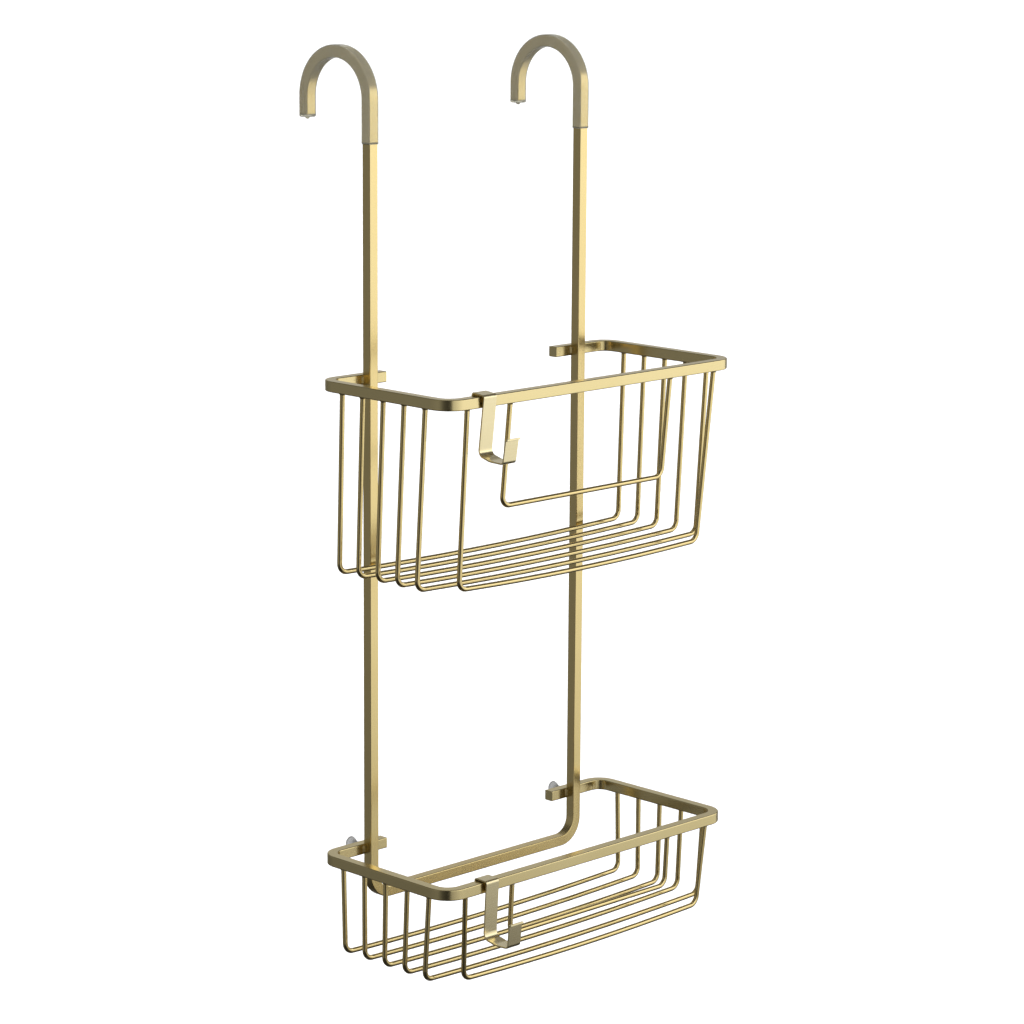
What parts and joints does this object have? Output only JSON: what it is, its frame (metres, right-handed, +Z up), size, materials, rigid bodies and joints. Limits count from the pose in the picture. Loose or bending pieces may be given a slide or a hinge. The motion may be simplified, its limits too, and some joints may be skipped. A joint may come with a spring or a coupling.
{
  "type": "shower caddy",
  "caption": "Two-tier wire shower caddy on a bent square bar with two over-screen hooks in clear sleeves, a deep upper and shallow lower basket, and a sliding strip hook on each front rim.",
  "frame": {"origin": "the hanging seat: half way between the two hooks, on the inside of the clear sleeves' highest point, where the caddy rests on a screen's top edge", "axes": "+Z up, +Y from the baskets towards the screen and over it, +X to the right along the baskets for someone facing their front"},
  "size_m": [0.3, 0.2248, 0.6642],
  "materials": {
    "bar": "satin champagne gold on a finely drawn square bar",
    "wire": "bright satin champagne gold on round wire",
    "strip": "crosswise brushed champagne gold on flat strip",
    "sleeve": "clear, slightly milky soft plastic",
    "cup": "clear soft plastic"
  },
  "bodies": {
    "caddy": {"frame_bar": "bar", "upper_rim": "bar", "lower_rim": "bar", "upper_wire_1": "wire", "upper_wire_2": "wire", "upper_wire_3": "wire", "upper_wire_4": "wire", "upper_wire_5": "wire", "lower_wire_1": "wire", "lower_wire_2": "wire", "lower_wire_3": "wire", "lower_wire_4": "wire", "lower_wire_5": "wire", "upper_front_wire": "wire", "upper_guard_wire": "wire", "lower_front_wire": "wire", "lower_guard_wire": "wire", "hook_sleeve_left": "sleeve", "hook_sleeve_right": "sleeve", "suction_cup_left": "cup", "suction_cup_right": "cup"},
    "upper_hook": {"upper_hook": "strip"},
    "lower_hook": {"lower_hook": "strip"}
  },
  "joints": [
    {"name": "upper_hook_slide", "type": "slide", "parent": "caddy", "child": "upper_hook", "axis": [1, 0, 0], "range_m": [-0.0118, 0.2366]},
    {"name": "lower_hook_slide", "type": "slide", "parent": "caddy", "child": "lower_hook", "axis": [1, 0, 0], "range_m": [-0.0167, 0.2317]}
  ]
}
